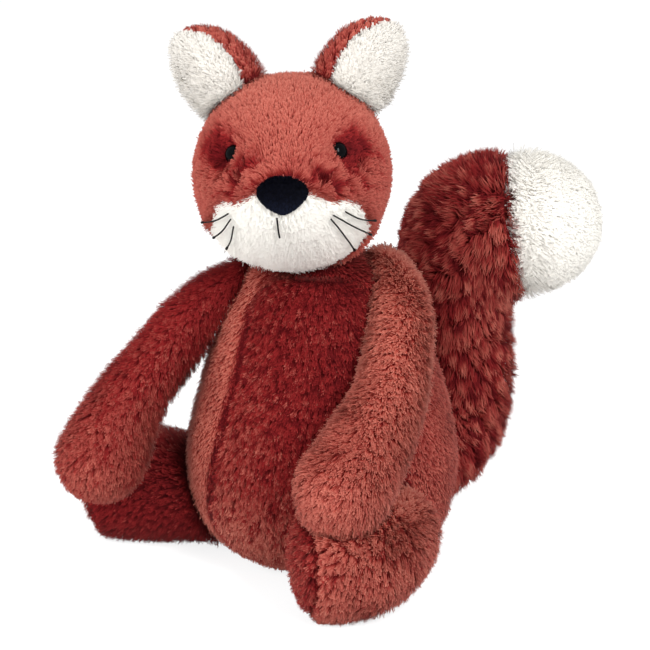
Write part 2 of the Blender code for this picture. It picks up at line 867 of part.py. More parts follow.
def make_leg(label, waypoints, parts, cutters, cuts, rust, sole_rust):
    """A leg that ends in a blunt foot, with a round sole panel let into the foot's end."""

    def form(name, collection, grow=0.0):
        return leg_form(name, collection, waypoints, grow)

    leg = form("leg_" + label, parts)
    spine = limb_spine(waypoints)
    end, (ahead, across, up) = spine.at(spine.length * 0.999)
    facing = Matrix((-across.cross(ahead), -ahead, across)).transposed().to_4x4()
    placed = Matrix.Translation(end) @ facing
    outline = [
        (
            SOLE_RADIUS * math.cos(math.radians(a)),
            SOLE_RADIUS * math.sin(math.radians(a)),
        )
        for a in range(0, 360, 45)
    ]
    sole = inset_panel(
        "sole_" + label, parts, cutters, form, leg, outline, (-SOLE_RADIUS, FOOT_ROUND), placed
    )
    for piece in (leg, sole):
        for cut in cuts:
            boolean(piece, cut, "DIFFERENCE")
    leg.data.materials.append(rust)
    sole.data.materials.append(sole_rust)


# Tail


def tail_spine():
    """The tail's line: up from its root on the torso, then folded over to the toy's left."""
    root = beside_torso(TAIL_ROOT_HEIGHT, TAIL_ROOT_BEARING, 0.0)
    bearing = math.radians(TAIL_ROOT_BEARING)
    out = Vector((math.sin(bearing), -math.cos(bearing), 0))
    left = Vector((-out.y, out.x, 0)) * -1
    up = Vector((0, 0, 1))
    points = [root + out * o + left * s + up * u for o, s, u in TAIL_PATH]
    headings = [after - before for before, after in zip(points[:1] + points, points[1:] + points[-1:])]
    headings = [way.normalized() for way in headings[:-1]] + [up]
    curl = math.radians(TAIL_CURL_BEARING)
    over = Vector((math.sin(curl), -math.cos(curl), 0))
    pivot = points[-1] + over * (TAIL_RADIUS + TAIL_FOLD_GAP)
    for degrees, radius in zip(TAIL_FOLD, tail_fold_radii()):
        turn = math.radians(degrees)
        reach = radius + TAIL_FOLD_GAP
        points.append(pivot + (up * math.sin(turn) - over * math.cos(turn)) * reach)
        headings.append(over * math.sin(turn) + up * math.cos(turn))
    return Spine(points, Vector((-over.y, over.x, 0)), headings)


def tail_fold_radii():
    return [TAIL_RADIUS * 0.3 + TAIL_CREST_RADIUS * 0.7, TAIL_CREST_RADIUS, TAIL_END_RADIUS]


def tail_form(name, collection, grow=0.0):
    radii = [
        TAIL_ROOT_RADIUS,
        (TAIL_ROOT_RADIUS + TAIL_RADIUS) / 2,
        TAIL_RADIUS * 0.97,
        TAIL_RADIUS,
        TAIL_RADIUS,
        TAIL_RADIUS,
        *tail_fold_radii(),
    ]
    caps = (TAIL_ROOT_RADIUS * 0.7, TAIL_END_RADIUS * 0.12)
    return stuffed(name, collection, tail_spine(), radii, caps, 22, 20, grow=grow)


def tip_form(name, collection):
    """The round white end, a dome that starts just inside the end of the tail."""
    spine = tail_spine()
    end, (ahead, across, up) = spine.at(spine.length)
    start = end - ahead * TIP_BURIED
    far = end + ahead * TIP_LENGTH
    ball = Spine([start, start.lerp(far, 0.4), far], across)
    radii = [TAIL_END_RADIUS, TIP_RADIUS, TIP_RADIUS]
    return stuffed(name, collection, ball, radii, (TIP_BURIED, TIP_RADIUS * 1.02), 12, 20)


def main():
    clear_scene()
    parts = new_collection("plush squirrel")
    cutters = new_collection("cutters")

    rust = principled("rust plush", RUST_RED, 0.95)
    rust_light = principled("rust plush, pile laid down", RUST_LIGHT, 0.95)
    white = principled("white plush", WHITE_PILE, 0.95)
    velour = principled("black velour", BLACK_VELOUR, 0.85)
    black_thread = principled("black thread", BLACK_THREAD, 0.5)
    bead_black = principled("black bead", BLACK_BEAD, 0.12)
    washer_white = principled("moulded washer", WASHER_WHITE, 0.5)

    ground = ground_cutter(cutters)
    torso = torso_form("torso", parts)
    torso_clear = as_cutter(torso_form("torso_clear", cutters, SEAM_CLEARANCE))
    belly = inset_panel(
        "belly_panel",
        parts,
        cutters,
        torso_form,
        torso,
        belly_outline(),
        (-BELLY_HALF_DEPTH * 1.3, -BELLY_HALF_DEPTH * 0.16),
        Matrix.Identity(4),
    )
    boolean(torso, ground, "DIFFERENCE")
    torso.data.materials.append(rust_light)
    belly.data.materials.append(rust)

    place = head_place()
    head = head_form("head", parts)
    bpy.context.view_layer.update()
    skin = Surface(head)
    head_clear = as_cutter(head_form("head_clear", cutters, SEAM_CLEARANCE))
    muzzle = inset_panel(
        "muzzle",
        parts,
        cutters,
        head_form,
        head,
        muzzle_outline(),
        (-HEAD_DEPTH, -HEAD_DEPTH * 0.06),
        place,
    )
    for side, label in ((1, "left"), (-1, "right")):
        make_eye(side, label, parts, cutters, head, skin, bead_black, washer_white)
        make_ear(side, label, parts, cutters, head_clear, rust, white)
    for piece in (head, muzzle):
        boolean(piece, torso_clear, "DIFFERENCE")
    head.data.materials.append(rust_light)
    muzzle.data.materials.append(white)
    make_nose(parts, place, skin, head_clear, velour)
    make_mouth(parts, place, skin, black_thread)
    make_whiskers(parts, place, skin, black_thread)

    for label, arm_line, leg_line in (("left", LEFT_ARM, LEFT_LEG), ("right", RIGHT_ARM, RIGHT_LEG)):
        arm = arm_form("arm_" + label, parts, arm_line)
        arm_clear = as_cutter(arm_form("arm_clear_" + label, cutters, arm_line, SEAM_CLEARANCE))
        for cut in (torso_clear, head_clear):
            boolean(arm, cut, "DIFFERENCE")
        arm.data.materials.append(rust)
        cuts = (torso_clear, ground, arm_clear)
        make_leg(label, leg_line, parts, cutters, cuts, rust, rust_light)

    tail = tail_form("tail", parts)
    tail_clear = as_cutter(tail_form("tail_clear", cutters, SEAM_CLEARANCE))
    tip = tip_form("tail_tip", parts)
    boolean(tail, torso_clear, "DIFFERENCE")
    boolean(tip, tail_clear, "DIFFERENCE")
    tail.data.materials.append(rust)
    tip.data.materials.append(white)
    bpy.context.view_layer.update()


main()
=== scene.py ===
"""Seated plush squirrel: rust-red cut-pile plush with a white muzzle, ear linings and tail tip.

Lays the plush, the bead eyes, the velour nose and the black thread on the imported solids. Every
strand of pile is a flat triangle or two on a skin made from the solid, and its place in the coat
map gives its colour: u is its tone, and v runs from its foot to its end.
"""
import math

import bmesh
import bpy
import numpy as np
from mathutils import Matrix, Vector
from mathutils.bvhtree import BVHTree


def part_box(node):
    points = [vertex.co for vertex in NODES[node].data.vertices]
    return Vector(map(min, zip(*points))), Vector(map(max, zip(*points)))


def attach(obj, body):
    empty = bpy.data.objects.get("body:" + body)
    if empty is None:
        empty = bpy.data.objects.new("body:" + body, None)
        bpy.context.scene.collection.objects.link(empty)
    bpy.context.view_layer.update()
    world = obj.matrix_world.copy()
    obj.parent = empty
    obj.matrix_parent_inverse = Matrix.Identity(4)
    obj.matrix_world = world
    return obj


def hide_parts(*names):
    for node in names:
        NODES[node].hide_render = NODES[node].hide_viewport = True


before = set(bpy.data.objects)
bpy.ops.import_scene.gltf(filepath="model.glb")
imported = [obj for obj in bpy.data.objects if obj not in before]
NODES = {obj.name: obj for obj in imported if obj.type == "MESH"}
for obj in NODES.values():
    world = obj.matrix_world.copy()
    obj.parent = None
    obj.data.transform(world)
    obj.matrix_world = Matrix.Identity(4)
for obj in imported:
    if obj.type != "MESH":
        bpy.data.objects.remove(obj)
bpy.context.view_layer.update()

bl_info = {
    "name": "Plush squirrel",
    "version": (1, 0, 0),
    "blender": (4, 5, 0),
    "location": "View3D > Sidebar > Plush",
    "description": "Covers the solids of a seated toy squirrel with cut-pile plush",
    "category": "Object",
}

COAT_MAP = "OFBake"
FACING = "facing"
TRIM = {"whisker", "mouth", "eye", "washer"}

# What a coat of pile has where a piece gives nothing else. Lengths are in metres.
PILE = {
    "cover": 0.0008,     # a triangle bears no pile with another solid this near in front of it
    "from_": None,       # the middle that a thin panel sinks towards, or None for its normals
    "partner": None,     # the solid across a seam, which shares the piece's form
    "near": 0.006,       # the skin sinks less where another solid is nearer than this
    "groove": 0.001,     # depth of the groove along the partner's edge
    "bare": None,        # a function that is True where no pile grows
    "stray": 0.22,       # spread of the way that single strands lie, in radians
    "curls": None,       # a function from 0 to 1 that is 1 where the pile is ruffled
    "lift": 9,           # spread of the lean, in degrees
    "grain": (1, 1, 1),  # stretch of the space that locks are found in: below 1 draws them long
    "spread": 0.07,      # spread of tone from strand to strand
    "lock_spread": 0.3,  # spread of tone from lock to lock
    "parting": 0.2,      # how far the tone falls between two locks: painted shade in the partings
    "bent": False,       # True for long strands, which bend
    "soft": 0.8,         # share of the skin's normal in the way that a strand faces
    "axis": None,        # a start and an axis that the strands face out from
    "padded": 0.8,       # how full the stuffing would be; not used
}
GROOVE_WIDTH = 0.004
SWIRL_SIZE, SWIRL = 0.011, 0.75  # slow turns of the pile, in radians
CURL_SIZE, CURL_TURN = 0.0045, 7  # turns of ruffled pile, in radians
CURL_RISE = math.radians(28)  # ruffled pile stands up by this much
SHORTEST, LONGEST = 0.75, 1.15  # shares of the strand's length
THINNEST, THICKEST = 0.7, 1.25  # shares of the strand's width
BLUNT = 0.5  # share of strands that are widest at the end
ROOT_DEPTH = 0.0003  # a short strand starts this far under the skin
FOOT_RISE = 25  # the foot of a bent strand stands up by this, in degrees
PARTING_WIDTH = 0.28  # as a share of the lock's size
MOTTLE_SIZE, MOTTLE = 0.022, 0.25  # slow changes of tone
DARKEST, LIGHTEST = 0.03, 0.97  # tones inside the coat map
DEEPEST = 0.65  # most that a dark strand is held to its foot, for deeper painted shade
CORNER_STEPS = np.array([-0.006, 0.006, 0.0])  # in u, so that no triangle has zero width
FOOT, RISE = 0.12, 0.84  # v at a strand's foot, and up to its end
SKIN_ROWS = np.array([0.03, 0.03, 0.09])  # v at the corners of the skin's triangles
SKIN_DARKER = 0.1  # the skin's tone is lower by this: painted shade under the pile
CLOSE = 0.006  # a panel's bed faces it this closely
BEAD_TALL, BEAD_NARROW = 0.9, 0.5  # the bead that shows, beside its solid


def linear(code):
    """sRGB hex to linear: c/12.92 below 0.04045, else ((c + 0.055)/1.055) to the power 2.4."""
    parts = [int(code[i:i + 2], 16) / 255 for i in (1, 3, 5)]
    return tuple(c / 12.92 if c <= 0.04045 else ((c + 0.055) / 1.055) ** 2.4 for c in parts)


def middle(node):
    """Middle of a solid's box."""
    low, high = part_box(node)
    return (np.array(low) + np.array(high)) / 2


# ---- sizes and colours

def number_of(name, value, text, **more):
    """A number that can be set in the panel."""
    return bpy.props.FloatProperty(name=name, description=text, default=value, **more)


def length_of(name, value, text):
    """A length in metres that can be set in the panel."""
    return number_of(name, value, text, min=0, unit="LENGTH")


def colour_of(name, code, text):
    """A colour that can be set in the panel, from its sRGB code."""
    return bpy.props.FloatVectorProperty(
        name=name, description=text, default=linear(code), size=3, min=0, max=1, subtype="COLOR")


class PlushSizes(bpy.types.PropertyGroup):
    """Lengths and thicknesses of the pile."""
    short_pile: length_of("Short pile", 0.0042, "Length of a strand on the body and limbs")
    head_pile: length_of("Head pile", 0.0042, "Length of a strand on the head")
    muzzle_pile: length_of("Muzzle pile", 0.0030, "Length of a strand on the white muzzle")
    tail_pile: length_of("Tail pile", 0.0085, "Length of a tuft on the tail")
    tip_pile: length_of("Tip pile", 0.0060, "Length of a tuft on the white tail tip")
    ear_pile: length_of("Ear pile", 0.0052, "Length of a strand in the white ear linings")
    strand: length_of("Strand", 0.00052, "Thickness of one strand at its thickest")
    nap: length_of("Nose nap", 0.0008, "Length of the velour nap on the nose")


class PlushColours(bpy.types.PropertyGroup):
    """Colours of the plush and trims."""
    # Shade and root colours are painted shade deep in the pile; tip colours painted light on the
    # ends.
    rust_shade: colour_of("Rust in the shade", "#5c070e", "Rust pile deep in a parting")
    rust_root: colour_of("Rust root", "#84181a", "Foot of the rust pile")
    rust: colour_of("Rust", "#a53c31", "Rust pile at its middle tone")
    rust_tip: colour_of("Rust tip", "#c17a69", "Ends of the rust pile")
    white_root: colour_of("White root", "#e9e5df", "Foot of the white pile")
    white_tip: colour_of("White tip", "#f6f4ef", "Ends of the white pile")
    nose_shade: colour_of("Nose shade", "#030308", "Velour nap at its foot")
    # The nose's bluish nap ends are a painted sheen.
    nose_sheen: colour_of("Nose tip", "#141828", "Velour nap at its ends")
    thread: colour_of("Thread", "#0b0a0c", "Whiskers and mouth")
    bead: colour_of("Bead", "#040405", "Eyes")


class StudioSizes(bpy.types.PropertyGroup):
    """Camera and lamps."""
    bearing: number_of("Bearing", math.radians(10), "Angle round the toy", subtype="ANGLE")
    height: number_of("Height", math.radians(19), "Angle above the floor", subtype="ANGLE")
    distance: length_of("Distance", 1.10, "From the camera to the seat of the toy")
    lens: number_of("Lens", 139.5, "Focal length in millimetres on a 36 mm sensor")
    key_power: number_of("Key power", 25.5, "Power of the main soft box", subtype="POWER")
    fill_power: number_of("Fill power", 18.0, "Power of the other soft box", subtype="POWER")
    ambient: number_of("Ambient", 0.90, "Strength of the light from all round")


# ---- arrays

def unit(v):
    """v divided by its length, row by row."""
    return v / np.maximum(np.linalg.norm(v, axis=-1, keepdims=True), 1e-12)


def dot(a, b):
    """Sum of products along each row, kept as a column."""
    return (a * b).sum(-1, keepdims=True)


def across(v, n):
    """The part of v that lies in the surface with normal n, made a unit vector."""
    return unit(v - dot(v, n) * n)


def scatter(cells, seed):
    """A random number from 0 to 1 for each whole-number cell: its coordinates times large primes,
    mixed by exclusive or and a multiplication, keeping 24 bits."""
    c = cells.astype(np.int64)
    h = c[..., 0] * 73856093 ^ c[..., 1] * 19349663 ^ c[..., 2] * 83492791 ^ (seed * 2654435)
    h = (h ^ (h >> 13)) * 1274126177 & 0x7FFFFFFF
    h = (h ^ (h >> 15)) * 668265263 & 0x7FFFFFFF
    return ((h ^ (h >> 11)) & 0xFFFFFF) / 0xFFFFFF


def cloud(points, size, seed):
    """Smooth noise from 0 to 1: random values at the corners of cubes of the given size, blended
    by 3t^2 - 2t^3 along each axis."""
    q = points / size
    low = np.floor(q)
    t = q - low
    t = t * t * (3 - 2 * t)
    total = np.zeros(len(points))
    for corner in np.ndindex(2, 2, 2):
        step = np.array(corner)
        weight = np.prod(np.where(step == 1, t, 1 - t), axis=1)
        total += weight * scatter(low + step, seed)
    return total


def locks(points, size, seed):
    """For each point, the nearest of one random point per cube of the given size: its place, how
    much farther the second nearest is, and a random number of its own."""
    cell = np.floor(points / size)
    best = np.full(len(points), 1e9)
    second = best.copy()
    place = np.zeros_like(points)
    own = np.zeros(len(points))
    for step in np.ndindex(3, 3, 3):
        c = cell + np.array(step) - 1
        spot = (c + np.stack([scatter(c, seed + k) for k in range(3)], axis=1)) * size
        far = np.linalg.norm(spot - points, axis=1)
        nearer = far < best
        second = np.where(nearer, best, np.minimum(second, far))
        best = np.where(nearer, far, best)
        place = np.where(nearer[:, None], spot, place)
        own = np.where(nearer, scatter(c, seed + 7), own)
    return place, second - best, own


# ---- skins

def solid_arrays(node):
    """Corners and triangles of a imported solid."""
    me = NODES[node].data
    points = np.zeros(len(me.vertices) * 3)
    me.vertices.foreach_get("co", points)
    me.calc_loop_triangles()
    tris = np.zeros(len(me.loop_triangles) * 3, np.int32)
    me.loop_triangles.foreach_get("vertices", tris)
    return points.reshape(-1, 3), tris.reshape(-1, 3)


def closed_up(me, reach):
    """Joins a mesh's doubled points and turns its faces out."""
    form = bmesh.new()
    form.from_mesh(me)
    bmesh.ops.remove_doubles(form, verts=form.verts, dist=reach)
    bmesh.ops.recalc_face_normals(form, faces=form.faces)
    form.to_mesh(me)
    form.free()


def skin_of(node, voxel, smoothing):
    """The solid's surface as an even skin: a merged copy, remeshed in cubes of the given size and
    smoothed, as (points, outward normals, triangles)."""
    copy = bpy.data.objects.new("skin", NODES[node].data.copy())
    bpy.context.scene.collection.objects.link(copy)
    closed_up(copy.data, 1e-6)
    remesh = copy.modifiers.new("Even skin", "REMESH")
    remesh.mode = "VOXEL"
    remesh.voxel_size = voxel
    soft = copy.modifiers.new("Stuffing", "SMOOTH")
    soft.factor = 0.5
    soft.iterations = smoothing
    seen = copy.evaluated_get(bpy.context.evaluated_depsgraph_get())
    me = bpy.data.meshes.new_from_object(seen)
    points = np.zeros(len(me.vertices) * 3)
    me.vertices.foreach_get("co", points)
    normals = np.zeros(len(me.vertices) * 3)
    me.vertices.foreach_get("normal", normals)
    me.calc_loop_triangles()
    tris = np.zeros(len(me.loop_triangles) * 3, np.int32)
    me.loop_triangles.foreach_get("vertices", tris)
    bpy.data.objects.remove(copy)
    bpy.data.meshes.remove(me)
    return points.reshape(-1, 3), unit(normals.reshape(-1, 3)), tris.reshape(-1, 3)


def neighbours_of(node, partner=None):
    """Search tree of the triangles of every other solid, without the trims and without a partner
    that shares its form."""
    points, tris, start = [], [], 0
    for other in sorted(NODES):
        if other in (node, partner) or any(word in other for word in TRIM):
            continue
        p, t = solid_arrays(other)
        points.append(p)
        tris.append(t + start)
        start += len(p)
    return BVHTree.FromPolygons(np.concatenate(points).tolist(), np.concatenate(tris).tolist())


def beside(points, tree, reach):
    """Distance from each point to the nearest other solid, as a share of reach up to 1."""
    near = [tree.find_nearest(Vector(p), reach)[3] for p in points]
    return np.array([1.0 if d is None else d / reach for d in near])


def open_faces(points, normals, tris, tree, reach):
    """True for each triangle with no other solid within reach along its normal."""
    centres = points[tris].mean(axis=1)
    ways = unit(normals[tris].mean(axis=1))
    hits = [tree.ray_cast(Vector(c), Vector(w), reach)[3] for c, w in zip(centres, ways)]
    return np.array([hit is None for hit in hits])


# ---- pile

def roots_on(points, normals, tris, bears, number, rng):
    """Random places on the triangles that bear pile, each chosen by its area and the place in it
    by 1 - sqrt(r), sqrt(r)(1 - s), sqrt(r)s."""
    a, b, c = (points[tris[:, k]] for k in range(3))
    size = np.linalg.norm(np.cross(b - a, c - a), axis=1) * bears
    edges = np.cumsum(size) / size.sum()
    pick = np.minimum(np.searchsorted(edges, rng.random(number)), len(tris) - 1)
    r, s = np.sqrt(rng.random((number, 1))), rng.random((number, 1))
    share = np.concatenate([1 - r, r * (1 - s), r * s], axis=1)[:, :, None]
    return (points[tris[pick]] * share).sum(1), unit((normals[tris[pick]] * share).sum(1))


def blades(roots, ways, sides, lengths, widths, blunt):
    """Flat strands, one triangle each. A pointed one has its width at the foot and a point at
    root + length way; a blunt one has a point for its foot and its width at the end."""
    end = roots + lengths * ways
    half = widths / 2 * sides
    wide = np.where(blunt[:, None], end, roots)
    point = np.where(blunt[:, None], roots, end)
    half = np.where(blunt[:, None], -half, half)
    points = np.stack([wide + half, wide - half, point], axis=1)
    rise = np.where(blunt[:, None], np.array([[1.0, 1.0, 0.0]]), np.array([[0.0, 0.0, 1.0]]))
    return points, np.array([[0, 1, 2]]), rise[:, None, :]


def leaves(roots, ways, tips, sides, lengths, widths):
    """Bent strands, two triangles each: a foot, two corners half a width to each side of the
    place 0.5 of the length along the first way, and a point 0.5 of the length on from there
    along the second way."""
    bend = roots + 0.5 * lengths * ways
    half = widths / 2 * sides
    points = np.stack([roots, bend - half, bend + half, bend + 0.5 * lengths * tips], axis=1)
    faces = np.array([[0, 1, 2], [2, 1, 3]])
    rise = np.broadcast_to(np.array([[0, 0.5, 0.5], [0.5, 0.5, 1.0]]), (len(roots), 2, 3))
    return points, faces, rise


def mesh_from(name, points, tris, chart, material, ways):
    """A mesh of triangles with its chart in the coat map, one pair of numbers per corner, and
    the ways that its points face."""
    me = bpy.data.meshes.new(name)
    me.vertices.add(len(points))
    me.vertices.foreach_set("co", points.astype(np.float32).ravel())
    me.loops.add(tris.size)
    me.loops.foreach_set("vertex_index", tris.astype(np.int32).ravel())
    me.polygons.add(len(tris))
    me.polygons.foreach_set("loop_start", np.arange(0, tris.size, 3, dtype=np.int32))
    me.polygons.foreach_set("use_smooth", np.ones(len(tris), bool))
    me.update(calc_edges=True)
    layer = me.uv_layers.new(name=COAT_MAP)
    layer.data.foreach_set("uv", chart.astype(np.float32).ravel())
    me.materials.append(material)
    me.normals_split_custom_set_from_vertices(ways.tolist())
    held = me.attributes.new(FACING, "FLOAT_VECTOR", "POINT")
    held.data.foreach_set("vector", ways.astype(np.float32).ravel())
    return me


def past_start(points, start, axis):
    """The way out from a start at points past it along an axis, and straight out from the axis
    at points before it."""
    out = points - np.array(start)
    return unit(out - np.minimum(dot(out, np.array(axis)), 0) * np.array(axis))


def skin_for(node, coat):
    """The skin of a solid, sunk so that the pile ends near the solid's face, as (points, normals,
    triangles, True for each triangle that bears pile). It sinks less close to other solids, by the
    square root of the distance, so that it still meets them, and more along its partner's edge."""
    points, normals, tris = skin_of(node, coat["voxel"], coat["smoothing"])
    tree = neighbours_of(node)
    bears = open_faces(points, normals, tris, tree, coat["cover"])
    outward = normals if coat["from_"] is None else unit(points - np.array(coat["from_"]))
    partner = coat["partner"]
    others = neighbours_of(node, partner) if partner else tree
    sink = coat["sink"] * beside(points, others, coat["near"]) ** 0.5
    if partner:
        sink = sink + coat["groove"] * seam_to(partner, GROOVE_WIDTH, node)(points)
    points = points - sink[:, None] * outward
    if coat["bare"]:
        bears = bears & ~coat["bare"](points[tris].mean(1))
    return points, normals, tris, bears


def laid_down(coat, flow, roots, up, rng):
    """How each strand lies: its way along the skin, which is the flow turned by slow swirls, its
    own stray and any curls, the way across it, and its lean from the normal in radians."""
    turn = SWIRL * (cloud(roots, SWIRL_SIZE, coat["seed"] + 20) - 0.5)[:, None]
    turn = turn + rng.normal(0, coat["stray"], (len(roots), 1))
    if coat["curls"]:
        curl = coat["curls"](roots)[:, None]
        turn = turn + CURL_TURN * (cloud(roots, CURL_SIZE, coat["seed"] + 80) - 0.5)[:, None] * curl
    lie = across(flow(roots, up), up)
    lie = np.cos(turn) * lie + np.sin(turn) * np.cross(up, lie)
    lean = np.radians(coat["lean"] + rng.normal(0, coat["lift"], (len(roots), 1)))
    if coat["curls"]:
        lean = lean - CURL_RISE * np.clip(curl, 0, 1)
    return lie, unit(np.cross(up, lie)), lean


def varied(coat, tone, roots, gap, own, rng):
    """The tone of each strand: the piece's, with a spread from strand to strand and from lock to
    lock, slow mottles, and a fall of exp(-(gap/width)^2) where two locks meet, painted shade in
    the parting, which is deep beside a few locks, by the cube of a lock's own number."""
    edge = np.exp(-(gap / (PARTING_WIDTH * coat["lock"])) ** 2)
    tone = tone + coat["spread"] * rng.normal(0, 1, len(roots))
    tone = tone + coat["lock_spread"] * (own - 0.5)
    tone = tone + MOTTLE * (cloud(roots, MOTTLE_SIZE, coat["seed"] + 60) - 0.5)
    return tone - coat["parting"] * edge * (0.4 + 2.2 * own ** 3)


def skin_chart(tone):
    """Where the corners of the skin's triangles lie in the coat map, at a lower tone than the
    pile: painted shade under the pile.
    """
    u = np.clip(tone - SKIN_DARKER, DARKEST, LIGHTEST)[:, None] + CORNER_STEPS
    return np.stack([u, np.broadcast_to(SKIN_ROWS, u.shape)], axis=-1)


def strand_chart(tone, rise):
    """Where the corners of the strands' triangles lie in the coat map. A strand whose tone is
    below 0 keeps more of the colour of its foot, so that painted shade goes deeper there."""
    u = np.clip(tone, DARKEST, LIGHTEST)[:, None, None] + CORNER_STEPS
    v = FOOT + RISE * rise * (1 - np.clip(-tone, 0, DEEPEST))[:, None, None]
    return np.stack([np.broadcast_to(u, v.shape), v], axis=-1).reshape(-1, 3, 2)


def coated(node, coat, flow, shade, material, slot):
    """One stuffed piece in its plush, in place of its solid.

    coat holds what PILE lists, and: voxel and smoothing of the skin, sink (how far the skin lies
    under the solid's face), number, length and width of the strands, lean in degrees from the
    surface's normal, lock (size of the locks), pull (share of the way that an end goes to its
    lock) and seed. flow gives the way the pile lies at each point, and shade its tone and its
    share of the length there.
    """
    coat = {**PILE, **coat}
    rng = np.random.default_rng(coat["seed"])
    points, normals, tris, bears = skin_for(node, coat)
    roots, up = roots_on(points, normals, tris, bears, coat["number"], rng)
    number = len(roots)
    lie, side, lean = laid_down(coat, flow, roots, up, rng)

    tone, share = shade(roots, up)
    length = coat["length"] * share[:, None] * rng.uniform(SHORTEST, LONGEST, (number, 1))
    width = coat["width"] * rng.uniform(THINNEST, THICKEST, (number, 1))
    grain = np.array(coat["grain"])
    spot, gap, own = locks(roots * grain, coat["lock"], coat["seed"] + 40)
    drawn = spot / grain - roots
    drawn = drawn - dot(drawn, up) * up
    way = np.cos(lean) * up + np.sin(lean) * lie
    end = unit(way * length + coat["pull"] * drawn)
    tone = varied(coat, tone, roots, gap, own, rng)
    if coat["bent"]:
        stand = np.radians(coat["lean"] - FOOT_RISE)
        first = unit(np.cos(stand) * up + np.sin(stand) * lie)
        body, faces, rise = leaves(roots, first, end, side, length, width)
    else:
        blunt = rng.random(number) < BLUNT
        body, faces, rise = blades(roots - ROOT_DEPTH * up, end, side, length, width, blunt)

    skin_tone = shade(points[tris].mean(1), normals[tris].mean(1))[0]
    chart = np.concatenate([skin_chart(skin_tone), strand_chart(tone, rise)])
    step = body.shape[1]
    strand_tris = (faces[None] + step * np.arange(number)[:, None, None]).reshape(-1, 3)
    face = unit(np.cross(side, -end))
    if coat["axis"]:
        up, normals = past_start(roots, *coat["axis"]), past_start(points, *coat["axis"])
    facing = unit((1 - coat["soft"]) * face + coat["soft"] * up)
    facing = np.concatenate([normals, np.repeat(facing, step, axis=0)])
    name = node + "_plush"
    me = mesh_from(name, np.concatenate([points, body.reshape(-1, 3)]),
                   np.concatenate([tris, strand_tris + len(points)]), chart, material, facing)
    return placed(bpy.data.objects.new(name, me), slot, node, padded=coat["padded"])


def placed(piece, slot, *nodes, padded=None):
    """Links a piece, lets it ride with the body and stand for its solids."""
    bpy.context.scene.collection.objects.link(piece)
    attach(piece, "root")
    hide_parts(*nodes)
    return piece


# ---- materials

def add_node(tree, kind, settings=None, links=None):
    """Adds a node, sets its inputs or its own settings, and links sockets to its inputs. The
    key stops sets a colour ramp."""
    node = tree.nodes.new(kind)
    for key, value in (settings or {}).items():
        if key == "stops":
            marks = node.color_ramp.elements
            while len(marks) < len(value):
                marks.new(1.0)
            for stop, (where, colour) in zip(marks, value):
                stop.position = where
                stop.color = (*colour, 1)
        elif isinstance(key, int) or key in node.inputs:
            node.inputs[key].default_value = value
        else:
            setattr(node, key, value)
    for key, socket in (links or {}).items():
        tree.links.new(socket, node.inputs[key])
    return node


def material_of(name, look):
    """A node material whose surface is the last node that look adds to its tree."""
    made = bpy.data.materials.new(name)
    made.use_nodes = True
    tree = made.node_tree
    tree.nodes.clear()
    output = tree.nodes.new("ShaderNodeOutputMaterial")
    tree.links.new(look(tree).outputs[0], output.inputs[0])
    return made


def once(name, look):
    """The material of this name, made when it is first asked for."""
    return bpy.data.materials.get(name) or material_of(name, look)


def in_place(tree, kind, settings):
    """A texture that lies in the piece's own space."""
    where = add_node(tree, "ShaderNodeTexCoord")
    return add_node(tree, kind, settings, {0: where.outputs["Object"]})


def stops(foot, half, end):
    """The colours along a strand: at its foot, just below its middle and at its end."""
    return [(0.0, tuple(foot)), (0.45, tuple(half)), (1.0, tuple(end))]


def cut_pile(dark, light, roughness, sheen, specular=0.12, through=0.3, tint=(1, 0.66, 0.56)):
    """Polyester cut pile. The ends of the strands catch the light and the feet fall into shade, so
    the colour runs along the strand from painted shade at the foot to painted light at the end,
    and each strand has a tone of its own. Fine strands let a share of the light through."""
    def look(tree):
        chart = add_node(tree, "ShaderNodeUVMap", {"uv_map": COAT_MAP})
        parts = add_node(tree, "ShaderNodeSeparateXYZ", links={0: chart.outputs[0]})
        low = add_node(tree, "ShaderNodeValToRGB", {"stops": dark}, {0: parts.outputs[1]})
        high = add_node(tree, "ShaderNodeValToRGB", {"stops": light}, {0: parts.outputs[1]})
        mixed = add_node(tree, "ShaderNodeMix", {"data_type": "RGBA"},
                         {0: parts.outputs[0], 6: low.outputs[0], 7: high.outputs[0]})
        faced = add_node(tree, "ShaderNodeAttribute", {"attribute_name": FACING})
        shader = add_node(
            tree, "ShaderNodeBsdfPrincipled",
            {"Roughness": roughness, "Specular IOR Level": specular, "Sheen Weight": sheen,
             "Sheen Roughness": 0.5, "Sheen Tint": (*tint, 1)},
            {"Base Color": mixed.outputs[2], "Normal": faced.outputs["Vector"]})
        glow = add_node(tree, "ShaderNodeBsdfTranslucent", links={0: mixed.outputs[2]})
        return add_node(tree, "ShaderNodeMixShader", {0: through},
                        {1: shader.outputs[0], 2: glow.outputs[0]})
    return look


def colours():
    """The colours set in the panel."""
    return bpy.context.scene.plush_colours


def sizes():
    """The lengths set in the panel."""
    return bpy.context.scene.plush_sizes


def rust_plush():
    """Rust-red polyester plush, with painted shade wine red deep in the pile and painted light on
    its paler ends.
    """
    c = colours()
    shade, root, rust, tip = (np.array(v) for v in (c.rust_shade, c.rust_root, c.rust, c.rust_tip))
    return once("Rust cut-pile plush", cut_pile(
        stops(shade * 0.6, shade, root), stops(shade, rust, tip), roughness=0.8, sheen=0.06))


def white_plush():
    """White polyester plush: paler fibres, which let more of the light through."""
    c = colours()
    root, tip = np.array(c.white_root), np.array(c.white_tip)
    return once("White cut-pile plush", cut_pile(
        stops(root * 0.7, root * 0.82, root * 0.86), stops(root, tip, tip), roughness=0.7,
        sheen=0.15, through=0.56, tint=(1, 0.98, 0.95)))


def nose_velour():
    """Black velour: a short dense nap that lets no light through, with a painted bluish sheen at
    its ends.
    """
    c = colours()
    shade, tip = np.array(c.nose_shade), np.array(c.nose_sheen)
    return once("Black velour", cut_pile(
        stops(shade, shade, shade), stops(shade, shade, tip), roughness=0.9, sheen=0.0,
        specular=0.06, through=0.0))


